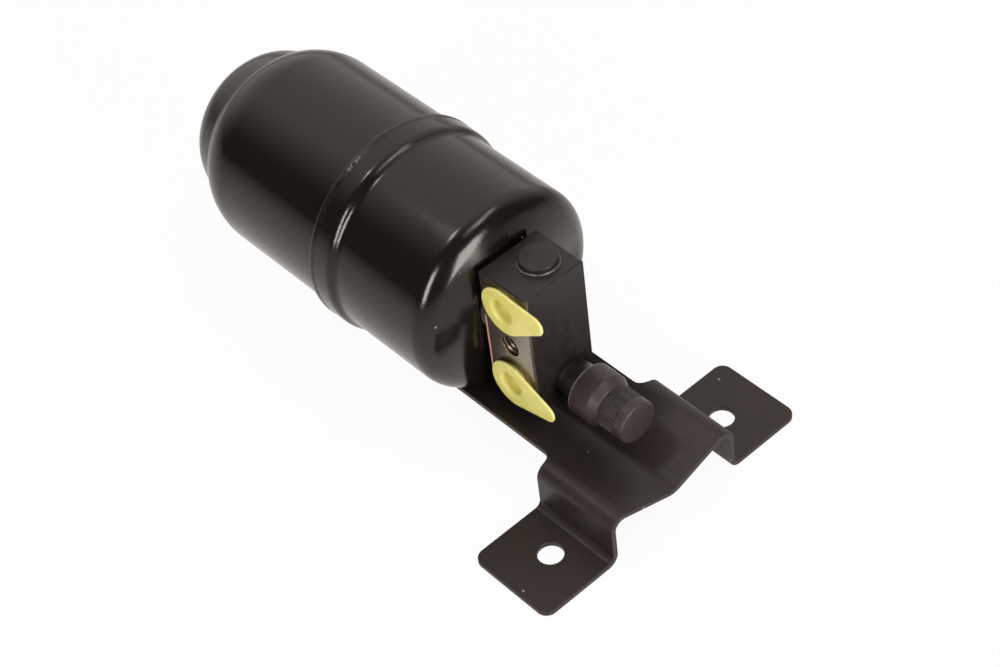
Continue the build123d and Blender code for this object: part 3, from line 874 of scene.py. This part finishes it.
def winding_tree():
    """A round or ridged wire wound on a helix about +Z."""
    tree, given, result = empty_tree("Winding", {
        "Turns": 5.0, "Height": 0.01, "Radius": 0.005, "Steps per turn": 32, "Wire": 0.0005, "Sides": 8,
    })
    spiral = add(tree, "GeometryNodeCurveSpiral", {
        "Resolution": given["Steps per turn"], "Rotations": given["Turns"], "Start Radius": given["Radius"],
        "End Radius": given["Radius"], "Height": given["Height"],
    }).outputs["Curve"]
    level = add(tree, "GeometryNodeSetCurveNormal", {"Curve": spiral}, mode="Z_UP").outputs["Curve"]
    profile = add(tree, "GeometryNodeCurvePrimitiveCircle", {
        "Resolution": given["Sides"], "Radius": given["Wire"],
    })
    wire = add(tree, "GeometryNodeCurveToMesh", {
        "Curve": level, "Profile Curve": profile.outputs["Curve"], "Fill Caps": True,
    })
    close_tree(tree, given, result, wire.outputs["Mesh"])
    return tree


def rib_tree():
    """Straight ribs with tapered ends, side by side round +Z."""
    tree, given, result = empty_tree("Grip ribs", {
        "Count": 50, "Radius": 0.0079, "Length": 0.008, "Rise": 0.0003, "Half width": 0.0005,
    })
    top = add(tree, "ShaderNodeCombineXYZ", {"Z": given["Length"]}).outputs["Vector"]
    line = add(tree, "GeometryNodeCurvePrimitiveLine", {"End": top}).outputs["Curve"]
    line = add(tree, "GeometryNodeResampleCurve", {"Curve": line, "Count": 7}).outputs["Curve"]
    share = add(tree, "GeometryNodeSplineParameter").outputs["Factor"]
    middle = math_of(tree, "ABSOLUTE", minus(tree, share, 0.5))
    fullness = remap(tree, middle, 0.5, 0.42, 0.15, 1.0)
    diamond = add(tree, "GeometryNodeCurvePrimitiveCircle", {"Resolution": 4, "Radius": 1.0})
    spread = add(tree, "ShaderNodeCombineXYZ", {"X": given["Rise"], "Y": given["Half width"], "Z": 1.0})
    sizes = {"Geometry": diamond.outputs["Curve"], "Scale": spread.outputs["Vector"]}
    diamond = add(tree, "GeometryNodeTransform", sizes).outputs["Geometry"]
    rib = add(tree, "GeometryNodeCurveToMesh", {
        "Curve": line, "Profile Curve": diamond, "Scale": fullness, "Fill Caps": True,
    }).outputs["Mesh"]
    circle = add(tree, "GeometryNodeMeshCircle", {"Vertices": given["Count"], "Radius": given["Radius"]})
    here = add(tree, "GeometryNodeInputPosition").outputs["Position"]
    outward = add(tree, "FunctionNodeAlignRotationToVector", {"Vector": here}, axis="X").outputs["Rotation"]
    ring = add(tree, "GeometryNodeInstanceOnPoints", {
        "Points": circle.outputs["Mesh"], "Instance": rib, "Rotation": outward,
    })
    close_tree(tree, given, result, ring.outputs["Instances"])
    return tree


SEAM = seam_tree()
WINDING = winding_tree()
RIBS = rib_tree()


def grown(tree, slot, place=Matrix.Identity(4), line=(), closed=False, **sizes):
    """A bmesh of what a geometry tree makes, from an optional line of points, put in place."""
    mesh = bpy.data.meshes.new("line")
    last = len(line) - 1
    edges = [(index, index + 1) for index in range(last)] + ([(last, 0)] if closed else [])
    mesh.from_pydata(line, edges, [])
    base = placed("line", mesh)
    modifier = base.modifiers.new("Shape", "NODES")
    modifier.node_group = tree
    wanted = {"Finish": FINISHES[slot], **spaced(sizes)}
    for socket in tree.interface.items_tree:
        if socket.in_out == "INPUT" and socket.name in wanted:
            modifier[socket.identifier] = wanted.pop(socket.name)
    if wanted:
        raise KeyError(f"{tree.name} has no input {sorted(wanted)}")
    plain = settled(base)
    bpy.data.objects.remove(base)
    return cleaned(as_bmesh(plain), place)


def on_circle(x, radius, angle):
    """A point on a circle round the canister's axis."""
    return (x, radius * cos(angle), AXIS_HEIGHT + radius * sin(angle))


def girth_bead():
    """The bead round the canister, with its start and stop lump and a few pits."""
    place = LIP + BEAD_LEAD
    level = SHELL_RADIUS - BEAD_DROP
    circle = [on_circle(place, level, 2 * pi * step / 360) for step in range(360)]
    bead = grown(
        SEAM, "weld_paint", line=circle, closed=True, Points=900, Radius=BEAD_RADIUS, Ripples=110.0,
        Ripple_depth=0.012, Wander=0.08, Swell_place=on_circle(place, level, LUMP_ANGLE),
        Swell_reach=LUMP_REACH, Swell=LUMP_SWELL, Sides=40,
    )
    pits = []
    for angle, x, size in PITS:
        pits.append((Vector(on_circle(place + x * MM, BAND_RADIUS + PIT_LEVEL, radians(angle))), size * MM))
    for vertex in bead.verts:
        spoke = Vector((0, vertex.co.y, vertex.co.z - AXIS_HEIGHT))
        sunk = max([0.0] + [1 - (vertex.co - centre).length / size for centre, size in pits])
        across = vertex.co.x - place
        above = spoke.length - level
        half_width = (across ** 2 + above ** 2) ** 0.5
        share = across / half_width
        ramp = min(max((share - FOOT_START) / FOOT_RUN, 0), 1)
        foot = SHELL_RADIUS - BEAD_SINK + (BAND_RADIUS - SHELL_RADIUS) * ramp ** 2 * (3 - 2 * ramp)
        crown = min(BEAD_CROWN * (half_width / BEAD_RADIUS) ** CROWN_POWER, LUMP_CROWN)
        crown *= cos(pi * share / 2) ** 2
        reach = foot + crown - PIT_DEPTH * sunk if above > 0 else BEAD_ROOT
        vertex.co = Vector((vertex.co.x, 0, AXIS_HEIGHT)) + spoke.normalized() * reach
        vertex.co.z = min(vertex.co.z, cad_box[1][2])
    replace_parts(piece("girth_bead", bead, "weld_paint", sharp=60.0), "girth_weld")


def stem_seams():
    """The two seams along the bracket's stem."""
    level = AXIS_HEIGHT - (SHELL_RADIUS ** 2 - STEM_HALF_WIDTH ** 2) ** 0.5
    for side, offset in (("left", -SEAM_OFFSET), ("right", SEAM_OFFSET)):
        node = f"bracket_weld_{side}"
        low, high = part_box(node)
        ends = [(low.x + SEAM_RADIUS, offset, level), (high.x - SEAM_RADIUS, offset, level)]
        seam = grown(
            SEAM, "weld_paint", line=ends, Points=160, Radius=SEAM_RADIUS, Ripples=17.0,
            Ripple_depth=0.12, Wander=0.3,
        )
        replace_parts(piece(f"stem_seam_{side}", seam, "weld_paint", sharp=60.0), node)


def crisp_copy(node, edge_radius, segments, cutter=None):
    """A bmesh of a CAD node with merged points, its flats in one piece and its edges slightly rounded."""
    work = as_bmesh(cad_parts[node].data)
    bmesh.ops.remove_doubles(work, verts=work.verts, dist=1e-6)
    bmesh.ops.dissolve_limit(work, angle_limit=radians(0.4), verts=work.verts, edges=work.edges)
    base = placed("copy", as_mesh("copy", work))
    if cutter is not None:
        cut = base.modifiers.new("Cut", "BOOLEAN")
        cut.operation = "DIFFERENCE"
        cut.solver = "EXACT"
        cut.object = cutter
    edges = base.modifiers.new("Edges", "BEVEL")
    edges.width = edge_radius
    edges.segments = segments
    edges.limit_method = "ANGLE"
    edges.angle_limit = radians(40.0)
    plain = settled(base)
    bpy.data.objects.remove(base)
    return as_bmesh(plain)


def bracket():
    """The folded sheet, with its cut edges slightly rounded under the enamel."""
    sheet = crisp_copy("bracket", SHEET_EDGE, 3)
    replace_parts(piece("folded_bracket", sheet, "bracket_paint", sharp=50.0, even=True), "bracket")


def block():
    """The machined block, with its mounting hole opened for the thread."""
    mouth = Matrix.Translation((HOLE_LINE, PORT_FACE - 0.01 * MM, THREAD_HEIGHT))
    drill = lathe(rounded([
        (0, 0, 0), (0, MOUNT_THREAD_RADIUS, 0), (MOUNT_THREAD_DEPTH, MOUNT_THREAD_RADIUS, 0),
        (MOUNT_THREAD_DEPTH, 0, 0),
    ]), mouth @ Matrix.Rotation(pi / 2, 4, "Z"), 64)
    cutter = placed("drill", as_mesh("drill", drill))
    steel = crisp_copy("port_block", BLOCK_EDGE, 2, cutter)
    bpy.data.objects.remove(cutter)
    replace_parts(piece("machined_block", steel, "block_coat", sharp=50.0, even=True), "port_block")


def mounting_thread():
    """The cut M8 thread between the two ports."""
    turns = (MOUNT_THREAD_DEPTH - THREAD_RUNOUT) / MOUNT_THREAD_PITCH
    start = Matrix.Translation((HOLE_LINE, PORT_FACE + THREAD_START, THREAD_HEIGHT))
    thread = grown(
        WINDING, "block_coat", start @ Matrix.Rotation(-pi / 2, 4, "X"), Turns=turns,
        Height=turns * MOUNT_THREAD_PITCH, Radius=MOUNT_THREAD_RADIUS, Steps_per_turn=48,
        Wire=THREAD_RIDGE, Sides=4,
    )
    piece("mounting_thread", thread, "block_coat", sharp=50.0, look=THREAD_STEEL)


def round_plug():
    """The round plug on the block's top and the thin ring at its foot."""
    top = Matrix.Translation((HOLE_LINE, GALLERY_OFFSET, block_high.z)) @ Matrix.Rotation(-pi / 2, 4, "Y")
    head = rounded([
        (-ROUND_PLUG_DEPTH, 0, 0), (-ROUND_PLUG_DEPTH, ROUND_PLUG_STEM, 0.4 * MM), (0, ROUND_PLUG_STEM, 0),
        (0, ROUND_PLUG_RADIUS, 0), (ROUND_PLUG_HEIGHT, ROUND_PLUG_RADIUS, 0.42 * MM),
        (ROUND_PLUG_HEIGHT, 0, 0),
    ], 6)
    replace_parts(piece("round_plug", lathe(head, top, 96), "block_coat"), "cross_drill_plug")
    fillet = rounded([
        (0, ROUND_PLUG_RADIUS, 0), (BRAZE_LEG, ROUND_PLUG_RADIUS, 0),
        (0.06 * MM, ROUND_PLUG_RADIUS + 0.1 * MM, 0.3 * MM), (0, ROUND_PLUG_RADIUS + BRAZE_LEG, 0),
    ], 5)
    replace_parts(piece("round_plug_braze", lathe(fillet, top, 96), "braze"), "cross_plug_braze")


def service_port():
    """The turned port with its collar, neck and nose, and its bore."""
    outline = rounded([
        (SHANK_END, SHANK_BORE, 0), (SHANK_END, SHANK_RADIUS, 0.3 * MM), (0, SHANK_RADIUS, 0),
        (0, SEAL_RADIUS, 0), (SEAL_END, SEAL_RADIUS, 0.2 * MM), (SEAL_END, COLLAR_RADIUS, 0.25 * MM),
        (COLLAR_END, COLLAR_RADIUS, 0.35 * MM), (COLLAR_END, NECK_RADIUS, 0.3 * MM),
        (NECK_END, NECK_RADIUS, 0.3 * MM), (NECK_END, NOSE_RADIUS, 0.7 * MM),
        (NOSE_END, NOSE_RADIUS, 0.8 * MM), (NOSE_END, NOSE_BORE + NOSE_CHAMFER, 0),
        (NOSE_END - NOSE_CHAMFER, NOSE_BORE, 0), (CORE_END, NOSE_BORE, 0), (CORE_END, CORE_BORE, 0),
        (CORE_START, CORE_BORE, 0), (CORE_START, SHANK_BORE, 0),
    ], 5)
    made = piece("turned_service_port", lathe(outline, VALVE_PLACE, 128), "valve_steel")
    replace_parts(made, "service_valve_body")


def cap():
    """The screw cap: smooth skirt, cone, ribbed grip, plain nose, and its post inside."""
    root = KNURL_RADIUS - KNURL_DEPTH
    knurl_end = KNURL_START + KNURL_LENGTH
    end = knurl_end + CAP_NOSE
    outline = rounded([
        (CAP_RIM, SKIRT_BORE, 0.25 * MM), (CAP_RIM, SKIRT_RADIUS, 0.3 * MM),
        (SKIRT_END, SKIRT_RADIUS, 0.3 * MM), (KNURL_START, KNURL_RADIUS, 0.12 * MM),
        (KNURL_START + KNURL_LAND, root, 0), (knurl_end - KNURL_LAND, root, 0),
        (knurl_end, KNURL_RADIUS, 0.12 * MM), (end, KNURL_RADIUS, 0.8 * MM), (end, 0, 0),
        (POST_START, 0, 0), (POST_START, POST_RADIUS, 0.6 * MM), (CAP_FLOOR, POST_RADIUS, 0.2 * MM),
        (CAP_FLOOR, SKIRT_BORE, 0.2 * MM),
    ], 6)
    shell = lathe(outline, VALVE_PLACE, 160)
    grip = VALVE_PLACE @ Matrix.Translation((KNURL_START, 0, 0)) @ Matrix.Rotation(pi / 2, 4, "Y")
    ribs = as_mesh("ribs", grown(
        RIBS, "cap_plastic", grip, Count=KNURL_COUNT, Radius=root, Length=KNURL_LENGTH, Rise=KNURL_DEPTH,
        Half_width=pi * root / KNURL_COUNT,
    ))
    shell.from_mesh(ribs)
    bpy.data.meshes.remove(ribs)
    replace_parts(piece("knurled_cap", shell, "cap_plastic", body="cap", sharp=40.0), "service_cap")


def arc(centre, radius, start, sweep, steps):
    """Points (x, y) along an arc round a centre on the X axis."""
    angles = [start + sweep * step / steps for step in range(steps + 1)]
    return [(centre + radius * cos(angle), radius * sin(angle)) for angle in angles]


def side(start, end, steps=12):
    """The points between two points (x, y), in equal steps."""
    return [tuple(a + (b - a) * step / steps for a, b in zip(start, end)) for step in range(1, steps)]


def teardrop(inset, height):
    """The flange's outline, drawn in by an inset: the disc, the two sides and the tab's tip."""
    big = FLANGE_RADIUS - inset
    small = TIP_RADIUS - inset
    lean = acos((big - small) / TAB_REACH)
    disc = arc(0, big, lean, 2 * pi - 2 * lean, 96)
    tip = arc(TAB_REACH, small, -lean, 2 * lean, 32)
    whole = disc + side(disc[-1], tip[0]) + tip + side(tip[-1], disc[0])
    return [Vector((x, y, height)) for x, y in whole]


def around(reference, radius, height):
    """A circle with one point for each point of the reference outline, in the same directions."""
    return [Vector((p.x, p.y, 0)).normalized() * radius + Vector((0, 0, height)) for p in reference]


def quarter(steps):
    """Angles from nothing to a quarter turn, in equal steps."""
    return [pi / 2 * step / steps for step in range(steps + 1)]


def dust_plug(name, node, body, height, turn):
    """A push-in plug: thin teardrop flange over a step, a soft dimple and a hollow shank."""
    full = teardrop(0, 0)
    bowl = DIMPLE_DEPTH - DIMPLE_LIP
    lip = FLANGE - DIMPLE_LIP
    rings = [around(full, PLUG_CENTRE, FLANGE - DIMPLE_DEPTH)]
    for angle in quarter(10)[1:]:
        rings.append(around(full, DIMPLE_RADIUS * sin(angle), lip - bowl * cos(angle)))
    for angle in quarter(6)[1:]:
        radius = DIMPLE_RADIUS + DIMPLE_LIP * (1 - cos(angle))
        rings.append(around(full, radius, lip + DIMPLE_LIP * sin(angle)))
    first_rim = teardrop(PLUG_EDGE, FLANGE)
    for share in (0.33, 0.66):
        rings.append([a.lerp(b, share) for a, b in zip(rings[-1], first_rim)])
    for angle in quarter(6):
        rings.append(teardrop(PLUG_EDGE * (1 - sin(angle)), FLANGE - PLUG_EDGE * (1 - cos(angle))))
    rings.append(teardrop(0, FLANGE - PLATE + PLUG_UNDERCUT))
    rings.append(teardrop(PLUG_UNDERCUT, FLANGE - PLATE))
    for radius, level in (
        (STEP_RADIUS, FLANGE - PLATE), (STEP_RADIUS, 0), (PLUG_SHANK, 0), (PLUG_SHANK, -3 * MM),
        (PLUG_SHANK, PLUG_CHAMFER - PLUG_DEPTH), (PLUG_SHANK - PLUG_CHAMFER, -PLUG_DEPTH),
        (PLUG_CENTRE, -PLUG_DEPTH),
    ):
        rings.append(around(full, radius, level))
    work = bmesh.new()
    loops = [[work.verts.new(point) for point in ring] for ring in rings]
    for lower, upper in zip(loops, loops[1:]):
        for index in range(len(full)):
            after = (index + 1) % len(full)
            work.faces.new((lower[index], lower[after], upper[after], upper[index]))
    work.faces.new(loops[0])
    work.faces.new(loops[-1])
    port = Matrix.Translation((HOLE_LINE, PORT_FACE, height)) @ Matrix.Rotation(pi / 2, 4, "X")
    cleaned(work, port @ Matrix.Rotation(turn, 4, "Z"))
    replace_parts(piece(name, work, "plug_plastic", body=body, sharp=45.0), node)


def carried_nodes():
    """Every solid gets its own finish. The hidden ones are kept as they are."""
    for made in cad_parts.values():
        slot = made.data.materials[0].name.split(".")[0]
        made.data.materials.clear()
        made.data.materials.append(FINISHES[slot])


def core_spring():
    """The core's spring, which in the valve shortens towards its seat as the pin goes in; here it only gets
    its own copy of its mesh.
    """
    node = "valve_core_spring"
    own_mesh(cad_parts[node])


def towards(azimuth, elevation):
    """The unit vector to a place round the part, from angles in degrees."""
    az, el = radians(azimuth), radians(elevation)
    return Vector((sin(az) * cos(el), -cos(az) * cos(el), sin(el)))


def camera():
    """The photograph's view."""
    az = radians(CAMERA_AZIMUTH)
    roll = radians(CAMERA_ROLL)
    back = towards(CAMERA_AZIMUTH, CAMERA_ELEVATION)
    right = Vector((cos(az), sin(az), 0))
    up = back.cross(right)
    turned_right = right * cos(roll) + up * sin(roll)
    turned_up = up * cos(roll) - right * sin(roll)
    data = bpy.data.cameras.new("camera")
    data.lens = CAMERA_LENS
    data.sensor_width = CAMERA_SENSOR
    data.sensor_fit = "HORIZONTAL"
    data.clip_end = 20.0
    made = placed("camera", data)
    axes = Matrix((turned_right, turned_up, back)).transposed().to_4x4()
    made.matrix_world = Matrix.Translation(CAMERA_PLACE) @ axes
    bpy.context.scene.camera = made


def backdrop():
    """A white sweep behind the part and a dark room on the viewer's side. The camera itself sees white."""
    world = bpy.data.worlds.new("studio")
    bpy.context.scene.world = world
    world.use_nodes = True
    tree = world.node_tree
    seen = add(tree, "ShaderNodeTexCoord").outputs["Generated"]
    sweep = vector_of(tree, "DOT_PRODUCT", seen, towards(*SWEEP))
    room = remap(tree, sweep, *SWEEP_EDGE, *ROOM_GLOW)
    direct = add(tree, "ShaderNodeLightPath").outputs["Is Camera Ray"]
    feed(
        tree, tree.nodes["Background"], Color=blend_colours(tree, direct, WARM, WHITE),
        Strength=blend(tree, direct, room, 1.0),
    )


def panels():
    """The soft panel lamps, each facing the part. Their watts are radiance times four times their area."""
    for name, azimuth, elevation, width, height, radiance in PANELS:
        data = bpy.data.lights.new(name, "AREA")
        data.shape = "RECTANGLE"
        data.size = width
        data.size_y = height
        data.energy = radiance * 4.0 * width * height
        outward = towards(azimuth, elevation)
        facing = outward.to_track_quat("Z", "Y").to_matrix().to_4x4()
        place = Matrix.Translation(STUDIO_CENTRE + outward * PANEL_DISTANCE)
        placed(name, data).matrix_world = place @ facing


def white_paper():
    """The floor's material: matt, but lit white for the camera and in mirrors, where it fades outward."""
    paper = bpy.data.materials.new("white paper")
    paper.use_nodes = True
    tree = paper.node_tree
    tree.nodes.remove(tree.nodes["Principled BSDF"])
    matt = add(tree, "ShaderNodeBsdfDiffuse", {"Color": (0.8, 0.8, 0.8, 1.0)}).outputs["BSDF"]
    path = add(tree, "ShaderNodeLightPath").outputs
    direct = path["Is Camera Ray"]
    place = add(tree, "ShaderNodeTexCoord").outputs["Object"]
    away = vector_of(tree, "DISTANCE", place, (PART_MIDDLE, 0, 0))
    level = math_of(tree, "MAXIMUM", direct, remap(tree, away, *FLOOR_FADE, *FLOOR_GLOW, smooth=False))
    tint = blend_colours(tree, direct, WARM, WHITE)
    lit = add(tree, "ShaderNodeEmission", {"Color": tint, "Strength": level}).outputs["Emission"]
    mirror = math_of(tree, "MAXIMUM", path["Is Glossy Ray"], path["Is Transmission Ray"])
    share = math_of(tree, "MAXIMUM", times(tree, direct, 0.95), times(tree, mirror, 0.9))
    mixed = add(tree, "ShaderNodeMixShader", {0: share, 1: matt, 2: lit}).outputs["Shader"]
    feed(tree, tree.nodes["Material Output"], Surface=mixed)
    return paper


def floor():
    """A white floor under the feet."""
    work = bmesh.new()
    bmesh.ops.create_grid(work, x_segments=1, y_segments=1, size=FLOOR_REACH)
    mesh = as_mesh("floor", work)
    mesh.materials.append(white_paper())
    placed("floor", mesh)


carried_nodes()
core_spring()
shells()
girth_bead()
stem_seams()
bracket()
block()
mounting_thread()
round_plug()
service_port()
cap()
dust_plug("upper_dust_plug", "upper_port_plug", "upper_plug", UPPER_PORT_HEIGHT, UPPER_PLUG_TURN)
dust_plug("lower_dust_plug", "lower_port_plug", "lower_plug", LOWER_PORT_HEIGHT, LOWER_PLUG_TURN)
camera()
backdrop()
panels()
floor()

bpy.context.scene.view_settings.view_transform = "Standard"
